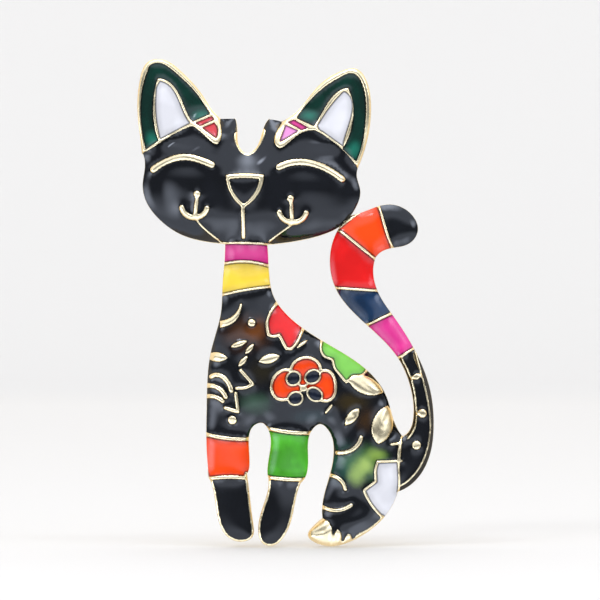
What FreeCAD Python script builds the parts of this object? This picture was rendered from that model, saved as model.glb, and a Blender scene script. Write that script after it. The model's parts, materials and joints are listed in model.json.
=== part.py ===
"""Gold-and-enamel cat brooch, worn upright on cloth.

Millimetres. +Z is up along the cat, +X is to the right of someone who faces the front, and the
front looks along -Y. The origin is the middle of the closed pin stem's axis, behind the head.

One die-cast body carries every raised gold line. Its floor is sunk between the lines, and each
sunk cell holds an enamel fill of its own. A bar with a hinge, a stem and a turning safety catch
is soldered to the flat back.
"""
import FreeCAD, Part
import math
import os

os.makedirs("parts", exist_ok=True)

# ---- driving dimensions ---------------------------------------------------------------------
STEM_R = 0.4            # steel pin stem
STEM_SHOULDER_X = 7.4   # where the taper to the point begins
STEM_POINT_X = 11.6
STEM_POINT_R = 0.06

BACK_Y = -3.2           # flat back of the casting
ENAMEL = 0.6            # depth of an enamel fill
PROUD = 0.25            # gold lines stand this much above the enamel
PLATE = 2.6             # thickness of body and enamel at the ears, legs and tail
HEAD_PEAK = 5.4         # thickness at the middle of the head
HEAD_R = 24.0           # crown of the head
HEAD_MIDDLE = (1.0, 0.4)
TORSO_PEAK = 4.2        # thickness at the middle of the torso
TORSO_R = 60.0
TORSO_MIDDLE = (7.0, -25.0)
WIRE = 0.35             # width of a plain gold line
SLIVER = 0.5            # a cell smaller than this many square millimetres stays bare gold

BAR_HALF = 11.0         # half length of the bar along X
BAR_WIDTH = 4.0
BAR_T = 0.8
BAR_TOP_Y = BACK_Y + BAR_T
HINGE_X = -9.0
CHEEK_R = 1.1
CHEEK_T = 0.5
CHEEK_GAP = 1.5
RIVET_R = 0.5
RIVET_HEAD_R = 0.85
RIVET_HEAD_T = 0.3
RUNNING = 0.05          # radial clearance of the rivet in the eye and of the lock in its housing
EYE_R = 1.1
EYE_T = 1.2
STEM_ROOT = 0.9         # the wire starts this far from the rivet's axis, inside the eye
CATCH_X = 8.4           # near face of the catch housing
CATCH_LENGTH = 1.4
CATCH_R = 1.45
NECK_INSET = 0.3        # the housing's neck is narrower than its ring by this on each side
MOUTH_INSET = 0.15      # and its mouth narrower than the lock, which can't fall out
LOCK_R = 0.95
LOCK_BORE = 0.5
FLANGE_GAP = 0.1        # between the housing and the lock's flange
LOCK_FLANGE_T = 0.9
LOCK_FLANGE_R = 1.3
LEVER_REACH = 2.1
LEVER_WIDTH = 0.8
SOLDER_X = (-4.8, 0.0, 4.8)
SOLDER_R = 0.9
SOLDER_CROWN_R = 1.6
SOLDER_CROWN = 0.35     # the solder stands this much above the bar

PAST = 1.0              # a cutting shape runs this far past what it cuts
FIELD = 80.0            # side of the square that the relief covers
FIELD_CORNER = (-30.0, -55.0)


# ---- flat shapes in the XZ plane ------------------------------------------------------------
def point(x, z):
    return FreeCAD.Vector(x, 0, z)


def run_edge(points):
    """A straight edge through two points, or a smooth curve through more."""
    places = [point(*p) for p in points]
    if len(places) == 2:
        return Part.LineSegment(*places).toShape()
    curve = Part.BSplineCurve()
    curve.interpolate(places)
    return curve.toShape()


def outline(*runs):
    """The face inside a chain of runs. Each run starts where the last one ends, at a corner."""
    edges = []
    start = runs[-1][-1]
    for run in runs:
        edges.append(run_edge([start] + list(run)))
        start = run[-1]
    return Part.Face(Part.Wire(edges))


def polygon(*corners):
    return outline(*[[corner] for corner in corners])


def ribbon(points, width=WIRE):
    """A line of gold along a smooth curve, with round ends."""
    edge = run_edge(points)
    steps = 2 * len(points)
    first, last = edge.ParameterRange
    left, right = [], []
    for i in range(steps + 1):
        u = first + (last - first) * i / steps
        middle = edge.valueAt(u)
        along = edge.tangentAt(u)
        side = FreeCAD.Vector(-along.z, 0, along.x) * (width / 2)
        left.append(middle + side)
        right.append(middle - side)
    end_tip = edge.valueAt(last) + edge.tangentAt(last) * (width / 2)
    start_tip = edge.valueAt(first) - edge.tangentAt(first) * (width / 2)
    sides = []
    for places in (left, right[::-1]):
        curve = Part.BSplineCurve()
        curve.interpolate(places)
        sides.append(curve.toShape())
    end_cap = Part.Arc(left[-1], end_tip, right[-1]).toShape()
    start_cap = Part.Arc(right[0], start_tip, left[0]).toShape()
    return Part.Face(Part.Wire([sides[0], end_cap, sides[1], start_cap]))


def bent_ribbon(points, width=WIRE):
    """A line of gold with sharp bends, from straight lengths with round ends."""
    lengths = [ribbon([a, b], width) for a, b in zip(points, points[1:])]
    return lengths[0].fuse(lengths[1:]) if len(lengths) > 1 else lengths[0]


def disc(x, z, radius):
    return Part.Face(Part.Wire(Part.Circle(point(x, z), FreeCAD.Vector(0, 1, 0), radius).toShape()))


def oval(x, z, length, width, angle, grow=0.0):
    """An ellipse whose long side is turned by angle degrees from +X towards +Z."""
    shape = disc(0, 0, 1.0)
    squeeze = FreeCAD.Matrix()
    squeeze.scale(length / 2 + grow, 1, width / 2 + grow)
    shape = shape.transformGeometry(squeeze)
    shape.rotate(point(0, 0), FreeCAD.Vector(0, -1, 0), angle)
    shape.translate(point(x, z))
    return shape


def leaf(x, z, length, width, angle):
    """A pointed leaf, two arcs that meet at its tips."""
    turn = math.radians(angle)
    along = point(math.cos(turn), math.sin(turn)) * (length / 2)
    across = point(-math.sin(turn), math.cos(turn)) * (width / 2)
    middle = point(x, z)
    upper = Part.Arc(middle - along, middle + across, middle + along).toShape()
    lower = Part.Arc(middle + along, middle - across, middle - along).toShape()
    return Part.Face(Part.Wire([upper, lower]))


def joined(faces):
    return faces[0].fuse(faces[1:]) if len(faces) > 1 else faces[0]


# ---- outer shape ----------------------------------------------------------------------------
HEAD_OUTLINE = outline(
    # left cheek, chin and right cheek
    [(-12.05, 2.0), (-12.3, 0.0), (-11.8, -2.1), (-10.3, -4.1), (-7.6, -6.0), (-4.0, -6.95),
     (0.0, -7.25), (3.3, -7.2), (7.0, -6.7), (10.0, -5.9), (12.2, -4.7), (13.7, -2.8),
     (14.3, -0.6), (13.9, 1.0), (14.0, 2.1)],
    # along the foot of the right ear to the right tuft
    [(12.0, 6.0)], [(6.3, 8.45)], [(4.8, 7.8)], [(3.15, 8.1)],
    # the notch between the tufts
    [(2.3, 6.3), (1.55, 4.5), (0.5, 3.85), (-0.4, 4.5), (-0.75, 6.0), (-1.0, 8.15)],
    [(-2.75, 8.1)], [(-9.0, 8.5)], [(-12.4, 4.2)],
)
EAR_LEFT_OUTLINE = outline(
    [(-12.9, 9.0), (-12.6, 13.0), (-11.6, 15.1), (-9.9, 15.35), (-7.6, 13.9), (-5.0, 11.0),
     (-3.7, 9.0), (-2.75, 8.1)],
    [(-2.65, 7.2), (-2.7, 5.5), (-3.15, 4.9), (-4.0, 5.3), (-5.4, 6.6), (-6.2, 7.15)],
    [(-8.3, 6.3), (-10.2, 5.1), (-12.4, 3.9)],
)
EAR_RIGHT_OUTLINE = outline(
    [(6.5, 8.9), (9.0, 11.9), (12.0, 13.95), (13.9, 14.2), (15.2, 12.4), (15.6, 9.7),
     (15.3, 6.2), (14.0, 2.1)],
    [(12.2, 4.25), (9.0, 6.55)],
    [(7.4, 6.45), (5.6, 5.1), (4.3, 4.45), (3.8, 5.1), (3.9, 6.2), (4.7, 7.75)],
)
NECK_LEFT = [(-2.3, -9.6), (-2.5, -12.0), (-2.7, -15.5), (-3.9, -20.2), (-4.45, -27.0),
             (-4.5, -31.0), (-4.15, -35.9)]
PAW_LEFT = [(-3.2, -40.0), (-1.9, -43.0), (-0.2, -43.6), (1.05, -43.1), (1.15, -41.3),
            (0.6, -36.8), (0.42, -35.3)]
BETWEEN_LEGS = [(0.65, -31.4), (1.3, -29.4), (2.3, -29.05), (3.1, -29.9), (3.3, -32.5),
                (3.1, -35.9)]
PAW_RIGHT = [(2.4, -39.5), (1.9, -42.6), (2.4, -43.8), (3.7, -44.05), (4.8, -43.2),
             (6.1, -39.9), (7.05, -36.4)]
UNDER_BELLY = [(7.9, -32.5), (8.5, -29.8), (9.4, -29.2), (10.4, -29.9), (11.1, -32.2),
               (10.7, -35.2), (9.8, -38.6), (9.75, -40.8)]
HIND_FOOT = [(8.5, -41.9), (7.95, -42.9), (9.0, -43.8), (12.0, -44.0), (14.3, -43.0),
             (16.9, -41.0), (18.9, -37.5)]
BACK_LINE = [(18.9, -29.9), (17.4, -25.6), (15.2, -22.7), (11.8, -20.3), (8.3, -18.2),
             (5.0, -15.5), (3.7, -13.6), (3.15, -11.0), (2.9, -7.0)]
BODY_OUTLINE = outline(
    NECK_LEFT, PAW_LEFT, BETWEEN_LEGS, PAW_RIGHT, UNDER_BELLY, HIND_FOOT,
    [(19.55, -30.8)], BACK_LINE, [(-2.2, -6.9)],
)
TAIL_OUTER = [(21.2, -36.0), (22.8, -33.1), (23.3, -29.3), (22.9, -25.2), (21.2, -20.6),
              (18.5, -16.2), (16.5, -13.1), (15.9, -10.8), (16.2, -8.8)]
TAIL_TIP = [(18.4, -7.6), (20.3, -7.1), (21.35, -5.6), (20.2, -3.2), (17.9, -2.35),
            (15.5, -2.95), (13.3, -3.7)]
TAIL_INNER = [(10.65, -8.8), (11.4, -12.7), (13.5, -15.5), (16.5, -18.3), (19.1, -21.3),
              (20.5, -24.6), (20.9, -28.2), (20.3, -30.2), (19.55, -30.8)]
TAIL_OUTLINE = outline(TAIL_OUTER, TAIL_TIP, [(11.9, -5.0)], TAIL_INNER, [(18.9, -37.5)])
OUTLINES = [HEAD_OUTLINE, EAR_LEFT_OUTLINE, EAR_RIGHT_OUTLINE, BODY_OUTLINE, TAIL_OUTLINE]
SILHOUETTE = joined(OUTLINES)


# ---- enamel cells that have an outline of their own --------------------------------------------
EAR_CELLS = {
    "ear_left_green": outline(
        [(-12.5, 8.0), (-12.2, 12.2), (-11.3, 14.7)],
        [(-10.2, 14.9), (-8.4, 13.8), (-6.0, 11.5), (-4.1, 8.7)],
        [(-6.2, 7.8)],
        [(-7.3, 10.0), (-9.1, 12.7), (-10.5, 13.1)],
        [(-11.0, 10.5), (-11.0, 8.0), (-10.4, 5.5)],
        [(-11.9, 4.4)],
    ),
    "ear_left_white": outline(
        [(-9.3, 12.4), (-7.8, 10.2), (-6.5, 7.6)],
        [(-8.3, 6.65), (-10.15, 5.65)],
        [(-10.7, 9.0), (-10.6, 12.0)],
        [(-10.2, 12.75)],
    ),
    "ear_left_red_strip": polygon((-5.8, 7.6), (-3.8, 8.4), (-3.6, 8.0), (-5.2, 7.25)),
    "ear_left_red_tip": outline([(-3.5, 7.6)], [(-3.1, 6.7), (-3.3, 5.75)], [(-4.95, 7.0)]),
    "ear_right_green": outline(
        [(9.0, 11.15), (12.0, 13.2)],
        [(13.7, 13.5), (14.7, 11.8), (14.95, 9.0), (14.6, 5.4), (13.8, 2.95)],
        [(12.15, 4.45)],
        [(13.2, 6.6), (13.45, 9.8), (12.9, 12.0)],
        [(11.7, 11.6), (9.7, 9.1), (8.65, 7.3)],
        [(6.6, 8.2)],
    ),
    "ear_right_white": outline(
        [(10.7, 9.7), (12.3, 11.5)],
        [(13.0, 11.0), (13.1, 8.0), (12.25, 4.75)],
        [(9.25, 6.9)],
        [(9.1, 7.3)],
    ),
    "ear_right_magenta_strip": polygon((5.5, 7.65), (6.2, 7.95), (7.9, 7.0), (7.2, 6.75)),
    "ear_right_pink_tip": polygon((5.2, 7.3), (6.75, 6.6), (4.5, 5.25)),
}
NOSE_CELL = outline(
    [(0.2, 0.75), (1.95, 0.65)],
    [(1.2, -1.2), (0.1, -2.25)],
    [(-0.9, -1.2), (-1.6, 0.65)],
)
NOSE_RIM = outline(
    [(0.2, 1.45), (2.65, 1.25)],
    [(1.7, -1.45), (0.05, -2.9)],
    [(-1.5, -1.2), (-2.15, 1.25)],
)
# middle x, middle z, length, width and angle of each petal
PETALS = {
    "petal_upper_left": (6.15, -23.6, 1.5, 1.35, 45),
    "petal_upper_right": (8.5, -23.4, 1.65, 1.3, 30),
    "petal_lower_right": (8.75, -25.55, 1.7, 1.25, -36),
    "petal_lower_left": (6.4, -26.05, 1.5, 1.3, 20),
}
FLOWER_HEART = (7.36, -24.8)
PETAL_CELLS = {name: oval(*place) for name, place in PETALS.items()}
PETAL_RIMS = [oval(*place, grow=0.27) for place in PETALS.values()]
OWN_CELLS = {**EAR_CELLS, "nose_black": NOSE_CELL, **PETAL_CELLS}

# ---- raised gold ----------------------------------------------------------------------------
FACE_LINES = [
    NOSE_RIM,
    ribbon([(-11.0, 1.9), (-9.2, 3.0), (-7.0, 3.4), (-5.0, 2.95), (-3.8, 2.45)], 0.9),
    ribbon([(4.4, 2.15), (6.0, 2.7), (8.0, 2.7), (10.3, 1.95), (12.1, 0.75)], 0.9),
    ribbon([(0.0, -2.7), (0.05, -6.4)], 0.55),
    disc(-5.6, -1.15, 0.48),
    ribbon([(-5.6, -1.15), (-5.85, -3.8)], 0.6),
    ribbon([(-7.5, -2.75), (-7.0, -3.6), (-5.9, -4.0), (-4.8, -3.55), (-4.4, -2.85)], 0.75),
    ribbon([(-5.8, -4.2), (-4.3, -5.7), (-2.7, -6.9)], 0.3),
    disc(5.8, -1.7, 0.48),
    ribbon([(5.8, -1.7), (6.0, -4.4)], 0.6),
    ribbon([(4.45, -3.35), (4.95, -4.2), (6.0, -4.6), (7.2, -4.2), (7.7, -3.45)], 0.75),
    ribbon([(5.9, -4.9), (4.6, -5.8), (3.2, -6.9)], 0.3),
    ribbon([(2.5, 6.7), (1.55, 4.5), (0.5, 3.85), (-0.4, 4.5), (-0.8, 6.3)], 0.5),
]
BAND_LINES = [
    ribbon([(-2.9, -7.15), (0.3, -7.05), (3.4, -7.3)], 0.3),
    ribbon([(-2.8, -9.7), (0.5, -9.35), (3.4, -9.95)]),
    ribbon([(-2.9, -13.5), (0.4, -12.8), (3.9, -12.35)]),
    ribbon([(-4.8, -30.4), (-1.8, -30.95), (1.1, -31.0)], 0.55),
    ribbon([(-4.6, -36.0), (-2.0, -35.7), (0.9, -35.9)], 0.55),
    ribbon([(2.9, -29.7), (5.5, -30.15), (8.7, -30.3)], 0.55),
    ribbon([(2.8, -35.7), (5.0, -35.95), (7.6, -36.0)], 0.55),
    ribbon([(11.3, -5.5), (14.5, -3.1)], 0.3),
    ribbon([(11.6, -5.4), (13.4, -6.8), (15.0, -8.1), (16.4, -9.2)], 0.38),
    ribbon([(16.4, -2.1), (17.1, -4.2), (17.7, -6.2), (18.45, -8.0)], 0.4),
    ribbon([(10.9, -12.5), (14.0, -12.75), (16.8, -12.9)]),
    ribbon([(14.8, -17.25), (18.5, -15.5)], 0.4),
    ribbon([(18.6, -21.35), (21.3, -19.7)]),
    ribbon([(19.6, -30.5), (19.0, -32.4), (19.05, -35.0), (18.9, -37.9)], 0.3),
]
PAW_RIMS = [
    ribbon([(-4.15, -35.9)] + PAW_LEFT, 0.5),
    ribbon([(3.1, -35.9)] + PAW_RIGHT, 0.5),
]
TOES = outline(
    [(9.8, -40.75)], [(10.65, -41.3)], [(11.0, -42.7)], [(11.5, -42.0)], [(11.85, -42.25)],
    [(12.15, -43.55)], [(12.75, -42.6)], [(13.1, -42.6)], [(13.45, -43.3)], [(14.1, -42.55)],
    [(15.2, -42.0), (17.1, -40.3)],
    [(18.0, -41.5)], [(12.0, -45.0)], [(7.0, -44.5)], [(7.0, -41.0)],
)
BACK_PATCH_LINES = [
    bent_ribbon([(4.2, -14.3), (3.4, -15.4), (2.9, -16.8), (3.1, -18.3), (3.7, -18.5),
                 (4.4, -18.3), (5.3, -20.0), (5.9, -20.0), (6.6, -19.2), (7.4, -17.4)], 0.45),
    leaf(7.2, -19.4, 1.9, 0.5, 35),
    bent_ribbon([(9.6, -18.6), (9.5, -20.2), (9.9, -20.9), (10.9, -21.3), (11.2, -22.4),
                 (12.6, -24.1), (13.3, -23.35), (14.7, -23.1), (15.4, -22.3)], WIRE),
]
STALK_ENDS = [(6.72, -24.2), (7.9, -24.15), (7.9, -25.0), (6.95, -25.25)]
PETAL_STALKS = [ribbon([FLOWER_HEART, end], 0.3) for end in STALK_ENDS]
FLOWER_LINES = PETAL_RIMS + PETAL_STALKS + [
    disc(*FLOWER_HEART, 0.45),
    ribbon([(5.85, -22.65), (4.5, -22.75), (3.5, -24.2), (3.7, -25.6), (5.4, -26.15)], 0.45),
    ribbon([(5.85, -22.65), (6.3, -21.6), (7.6, -21.05), (9.1, -21.6), (9.4, -22.8)], 0.45),
    ribbon([(9.4, -22.8), (10.6, -22.8), (11.3, -24.5), (10.9, -26.0), (9.6, -26.3)], 0.45),
]
CHEST_MARKS = [
    outline([(-0.8, -15.4), (-2.9, -16.55)], [(-2.9, -17.5)], [(-0.7, -16.4), (-0.1, -14.4)],
            [(-0.4, -14.4)]),
    disc(1.05, -16.8, 0.55),
    leaf(-0.5, -19.4, 2.4, 0.8, 20),
    leaf(0.8, -20.0, 1.8, 0.75, 50),
    leaf(0.0, -21.5, 1.9, 0.75, 50),
    leaf(3.2, -21.2, 2.9, 1.3, 15),
    leaf(-3.2, -21.0, 2.8, 1.3, -5),
    ribbon([(-3.9, -23.4), (-3.0, -23.2), (-2.0, -23.9), (-1.45, -25.1)], 0.65),
    ribbon([(-4.3, -24.5), (-3.2, -24.7), (-2.1, -25.9)], 0.65),
    ribbon([(-4.3, -25.8), (-3.2, -25.95), (-2.5, -26.4)], 0.6),
    bent_ribbon([(-0.3, -22.6), (1.2, -24.3), (0.3, -24.75), (-0.8, -24.8)], 0.5),
    bent_ribbon([(-0.9, -25.4), (-0.6, -27.7), (-2.2, -27.2)], 0.5),
    disc(-1.3, -28.7, 0.6),
]
HAUNCH_MARKS = [
    outline([(14.5, -23.15), (16.0, -23.75), (17.2, -25.35)],
            [(15.8, -25.75), (14.2, -25.35), (12.8, -23.9)]),
    outline([(18.35, -28.3), (18.2, -30.1), (16.5, -31.7)],
            [(15.65, -30.2), (16.0, -28.3), (17.7, -26.9)]),
    leaf(13.3, -28.3, 2.9, 1.3, 50),
    ribbon([(10.8, -26.9), (10.1, -27.8)], 0.4),
    ribbon([(11.5, -32.7), (12.6, -32.6), (13.7, -32.0), (14.4, -30.8)], 0.6),
    ribbon([(10.8, -35.5), (11.8, -35.95), (12.5, -37.2)], 0.55),
    ribbon([(9.8, -39.4), (11.4, -39.75), (13.2, -39.1)], 0.55),
    ribbon([(18.1, -31.7), (19.4, -31.5)], 0.4),
]
HIP_LINE = bent_ribbon([(19.4, -33.7), (16.4, -33.8), (16.15, -35.0), (16.2, -36.2),
                        (14.75, -37.3), (15.3, -38.5), (16.6, -40.2), (17.6, -41.2)], WIRE)
TAIL_MARKS = [
    oval(21.2, -23.4, 1.3, 0.8, 20),
    disc(21.9, -27.9, 0.6),
    disc(21.2, -31.8, 0.6),
    ribbon([(19.4, -21.2), (20.3, -23.0), (20.9, -24.9), (21.15, -27.0), (21.1, -29.3),
            (20.5, -30.6), (19.9, -31.2)], 0.25),
    ribbon([(21.0, -20.3), (22.2, -24.6), (22.7, -27.0), (22.9, -29.0), (22.7, -31.5),
            (22.0, -33.7), (21.0, -35.3), (19.2, -36.8)], 0.25),
]
MARKS = (FACE_LINES + BAND_LINES + PAW_RIMS + BACK_PATCH_LINES + FLOWER_LINES + CHEST_MARKS
         + HAUNCH_MARKS + TAIL_MARKS + [EAR_LEFT_OUTLINE, EAR_RIGHT_OUTLINE, TOES, HIP_LINE])

# a point inside each cell that the gold lines leave between them
CELL_POINTS = {
    "head_black": [(0.0, 2.5)],
    "collar_magenta": [(0.3, -8.3)],
    "collar_yellow": [(0.3, -11.2)],
    "back_red": [(4.6, -16.6)],
    "back_green": [(12.6, -21.8)],
    "flower_field_left": [(4.6, -24.2)],
    "flower_field_top": [(7.4, -22.1)],
    "flower_field_right": [(10.2, -24.6)],
    "hip_white": [(17.6, -36.0)],
    "leg_left_orange": [(-1.8, -33.3)],
    "leg_right_green": [(5.5, -33.0)],
    "paw_left_black": [(-1.2, -39.5)],
    "paw_right_black": [(4.2, -40.0)],
    "tail_base_black": [(21.9, -30.0), (23.13, -30.0), (20.3, -21.5)],
    "tail_magenta": [(17.8, -17.9)],
    "tail_navy": [(14.6, -14.6)],
    "tail_red": [(13.0, -9.5)],
    "tail_orange": [(15.0, -5.8)],
    "tail_tip_black": [(19.3, -5.0)],
}


# ---- relief ---------------------------------------------------------------------------------
def crown(middle, peak, radius, grow):
    """A ball whose near side stands peak + grow in front of the flat back."""
    ball = Part.makeSphere(radius + grow)
    ball.translate(FreeCAD.Vector(middle[0], BACK_Y - peak + radius, middle[1]))
    return ball


def field_box(thickness):
    """A slab in front of the flat back."""
    x, z = FIELD_CORNER
    return Part.makeBox(FIELD, thickness, FIELD, FreeCAD.Vector(x, BACK_Y - thickness, z))


def relief(grow):
    """Everything behind the front surface of the enamel, moved forwards by grow."""
    slab = field_box(PLATE + grow)
    head = crown(HEAD_MIDDLE, HEAD_PEAK, HEAD_R, grow)
    torso = crown(TORSO_MIDDLE, TORSO_PEAK, TORSO_R, grow)
    front = field_box(HEAD_PEAK + PAST)
    return slab.fuse([head.common(front), torso.common(front)])


def forwards(face):
    """The face pushed straight forwards from the flat back."""
    face = face.copy()
    face.translate(FreeCAD.Vector(0, BACK_Y, 0))
    return face.extrude(FreeCAD.Vector(0, -HEAD_PEAK - PAST, 0))


FLOOR = relief(-ENAMEL)
SURFACE = relief(0.0)
RIDGE_TOP = relief(PROUD)


def enamel(faces):
    """Enamel fills of the cells, as one compound of closed solids."""
    solids = []
    for face in faces:
        fill = forwards(face).common(SURFACE).cut(FLOOR)
        solids.extend(fill.Solids)
    return Part.makeCompound(solids)


def cast_body(cells):
    """The casting: full height at the gold lines and sunk to the floor under every cell."""
    blank = joined([forwards(face) for face in OUTLINES]).removeSplitter().common(RIDGE_TOP)
    return blank.cut([forwards(face).cut(FLOOR) for face in cells])


# ---- hardware on the back -------------------------------------------------------------------
def along_x(x, length, radius):
    """A cylinder round the closed stem's axis."""
    return Part.makeCylinder(radius, length, FreeCAD.Vector(x, 0, 0), FreeCAD.Vector(1, 0, 0))


def round_hinge(z, length, radius):
    """A cylinder round the hinge's axis."""
    return Part.makeCylinder(radius, length, FreeCAD.Vector(HINGE_X, 0, z))


def through_bar(x, radius, start_y, length):
    return Part.makeCylinder(radius, length, FreeCAD.Vector(x, start_y, 0), FreeCAD.Vector(0, 1, 0))


def pin_bar():
    """Flat bar with round ends, three solder holes and two folded cheeks for the hinge."""
    half_round = BAR_WIDTH / 2
    middle = Part.makeBox(2 * (BAR_HALF - half_round), BAR_T, BAR_WIDTH,
                          FreeCAD.Vector(-BAR_HALF + half_round, BACK_Y, -half_round))
    ends = [through_bar(side * (BAR_HALF - half_round), half_round, BACK_Y, BAR_T)
            for side in (-1, 1)]
    bar = middle.fuse(ends)
    bar = bar.cut([through_bar(x, SOLDER_R, BACK_Y - PAST, BAR_T + 2 * PAST) for x in SOLDER_X])
    cheeks = []
    for z in (-CHEEK_GAP / 2 - CHEEK_T, CHEEK_GAP / 2):
        foot = Part.makeBox(2 * CHEEK_R, -BAR_TOP_Y, CHEEK_T,
                            FreeCAD.Vector(HINGE_X - CHEEK_R, BAR_TOP_Y, z))
        cheek = foot.fuse(round_hinge(z, CHEEK_T, CHEEK_R))
        cheeks.append(cheek.cut(round_hinge(z - PAST, CHEEK_T + 2 * PAST, RIVET_R)))
    return bar.fuse(cheeks).removeSplitter()


def solder_plugs():
    """Solder that fills the bar's holes and crowns a little above them."""
    plugs = []
    for x in SOLDER_X:
        plug = through_bar(x, SOLDER_R, BACK_Y, BAR_T)
        cap = Part.makeSphere(SOLDER_CROWN_R)
        cap.translate(FreeCAD.Vector(x, BAR_TOP_Y + SOLDER_CROWN - SOLDER_CROWN_R, 0))
        cap = cap.common(through_bar(x, SOLDER_R, BAR_TOP_Y, SOLDER_CROWN + PAST))
        plugs.append(plug.fuse(cap).removeSplitter())
    return Part.makeCompound(plugs)


def hinge_rivet():
    """Rivet across the cheeks, with a round head outside each one."""
    reach = CHEEK_GAP / 2 + CHEEK_T
    shank = round_hinge(-reach, 2 * reach, RIVET_R)
    heads = [round_hinge(z, RIVET_HEAD_T, RIVET_HEAD_R) for z in (-reach - RIVET_HEAD_T, reach)]
    return shank.fuse(heads).removeSplitter()


def pin_stem():
    """Steel stem: a flattened eye round the rivet, a straight length and a long taper."""
    eye = round_hinge(-EYE_T / 2, EYE_T, EYE_R)
    straight = along_x(HINGE_X + STEM_ROOT, STEM_SHOULDER_X - HINGE_X - STEM_ROOT, STEM_R)
    taper = Part.makeCone(STEM_R, STEM_POINT_R, STEM_POINT_X - STEM_SHOULDER_X,
                          FreeCAD.Vector(STEM_SHOULDER_X, 0, 0), FreeCAD.Vector(1, 0, 0))
    stem = eye.fuse([straight, taper])
    hole = round_hinge(-EYE_T / 2 - PAST, EYE_T + 2 * PAST, RIVET_R + RUNNING)
    return stem.cut(hole).removeSplitter()


def catch_housing():
    """C-shaped housing on a short neck, open away from the brooch."""
    ring = along_x(CATCH_X, CATCH_LENGTH, CATCH_R)
    neck = Part.makeBox(CATCH_LENGTH, -BAR_TOP_Y, 2 * (CATCH_R - NECK_INSET),
                        FreeCAD.Vector(CATCH_X, BAR_TOP_Y, NECK_INSET - CATCH_R))
    housing = ring.fuse(neck)
    bore = along_x(CATCH_X - PAST, CATCH_LENGTH + 2 * PAST, LOCK_R + RUNNING)
    mouth = Part.makeBox(CATCH_LENGTH + 2 * PAST, CATCH_R + PAST, 2 * (LOCK_R - MOUTH_INSET),
                         FreeCAD.Vector(CATCH_X - PAST, 0, MOUTH_INSET - LOCK_R))
    return housing.cut([bore, mouth]).removeSplitter()


def catch_lock():
    """Turning lock: a slotted barrel in the housing, with a flange and a thumb lever outside."""
    barrel = along_x(CATCH_X, CATCH_LENGTH + FLANGE_GAP, LOCK_R)
    flange_x = CATCH_X + CATCH_LENGTH + FLANGE_GAP
    flange = along_x(flange_x, LOCK_FLANGE_T, LOCK_FLANGE_R)
    lever = Part.makeBox(LOCK_FLANGE_T, LEVER_WIDTH, LEVER_REACH,
                         FreeCAD.Vector(flange_x, -LEVER_WIDTH / 2, 0))
    lock = barrel.fuse([flange, lever])
    length = CATCH_LENGTH + FLANGE_GAP + LOCK_FLANGE_T + 2 * PAST
    bore = along_x(CATCH_X - PAST, length, LOCK_BORE)
    slot = Part.makeBox(length, LOCK_FLANGE_R + PAST, 2 * LOCK_BORE,
                        FreeCAD.Vector(CATCH_X - PAST, 0, -LOCK_BORE))
    return lock.cut([bore, slot]).removeSplitter()


# ---- build ----------------------------------------------------------------------------------
def inside(face, x, z):
    return face.isInside(point(x, z), 1e-4, True)


def save(name, shape):
    bad = [s for s in shape.Solids if not s.isValid() or s.Volume <= 0]
    if bad or not shape.Solids:
        raise RuntimeError(name + " is not made of closed solids")
    shape.exportStep("parts/" + name + ".step")
    print(f"{name:26s} {len(shape.Solids):3d} solids  {shape.Volume:9.3f} mm3")


def main():
    gold = joined(MARKS).cut(list(OWN_CELLS.values())).common(SILHOUETTE).removeSplitter()
    open_cells = list(SILHOUETTE.cut([gold] + list(OWN_CELLS.values())).Faces)
    cells = {name: face.Faces for name, face in OWN_CELLS.items()}
    for name, places in CELL_POINTS.items():
        found = [f for f in open_cells if any(inside(f, *place) for place in places)]
        if not found:
            raise RuntimeError("no cell at " + name)
        cells[name] = found
        open_cells = [f for f in open_cells if f not in found]
    cells["body_black"] = [f for f in open_cells if f.Area > SLIVER]

    save("cast_body", cast_body([face for faces in cells.values() for face in faces]))
    for name, faces in cells.items():
        save(name, enamel(faces))
    for make in (pin_bar, solder_plugs, hinge_rivet, pin_stem, catch_housing, catch_lock):
        save(make.__name__, make())


main()
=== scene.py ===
"""Looks of the cat brooch: enamel fills, raised gold, cast plate, pin and a plain studio."""
import bpy
import bmesh
import functools
import json
import math
import numpy as np
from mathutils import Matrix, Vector, geometry, kdtree
from mathutils.bvhtree import BVHTree


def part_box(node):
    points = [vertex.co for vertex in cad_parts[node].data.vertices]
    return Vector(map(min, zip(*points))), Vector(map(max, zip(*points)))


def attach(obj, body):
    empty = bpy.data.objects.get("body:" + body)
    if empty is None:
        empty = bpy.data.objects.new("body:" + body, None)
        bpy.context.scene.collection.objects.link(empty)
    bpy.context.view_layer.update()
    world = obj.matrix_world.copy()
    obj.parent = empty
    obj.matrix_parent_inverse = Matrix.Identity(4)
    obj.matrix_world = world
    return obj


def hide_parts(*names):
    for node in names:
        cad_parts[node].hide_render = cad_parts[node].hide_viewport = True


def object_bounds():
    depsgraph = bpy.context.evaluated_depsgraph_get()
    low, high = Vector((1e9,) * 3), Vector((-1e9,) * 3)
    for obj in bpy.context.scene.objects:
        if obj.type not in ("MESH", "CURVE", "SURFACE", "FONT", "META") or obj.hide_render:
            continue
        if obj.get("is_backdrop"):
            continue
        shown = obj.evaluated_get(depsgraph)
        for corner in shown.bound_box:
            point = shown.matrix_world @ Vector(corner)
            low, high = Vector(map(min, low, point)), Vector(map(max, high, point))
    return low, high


bl_info = {
    "name": "Cat Brooch",
    "version": (1, 0, 0),
    "blender": (4, 5, 0),
    "location": "View3D > Sidebar > Cat Brooch",
    "description": "Builds the enamel, gold and findings of a cat brooch round its fixed frame",
    "category": "Object",
}

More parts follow.
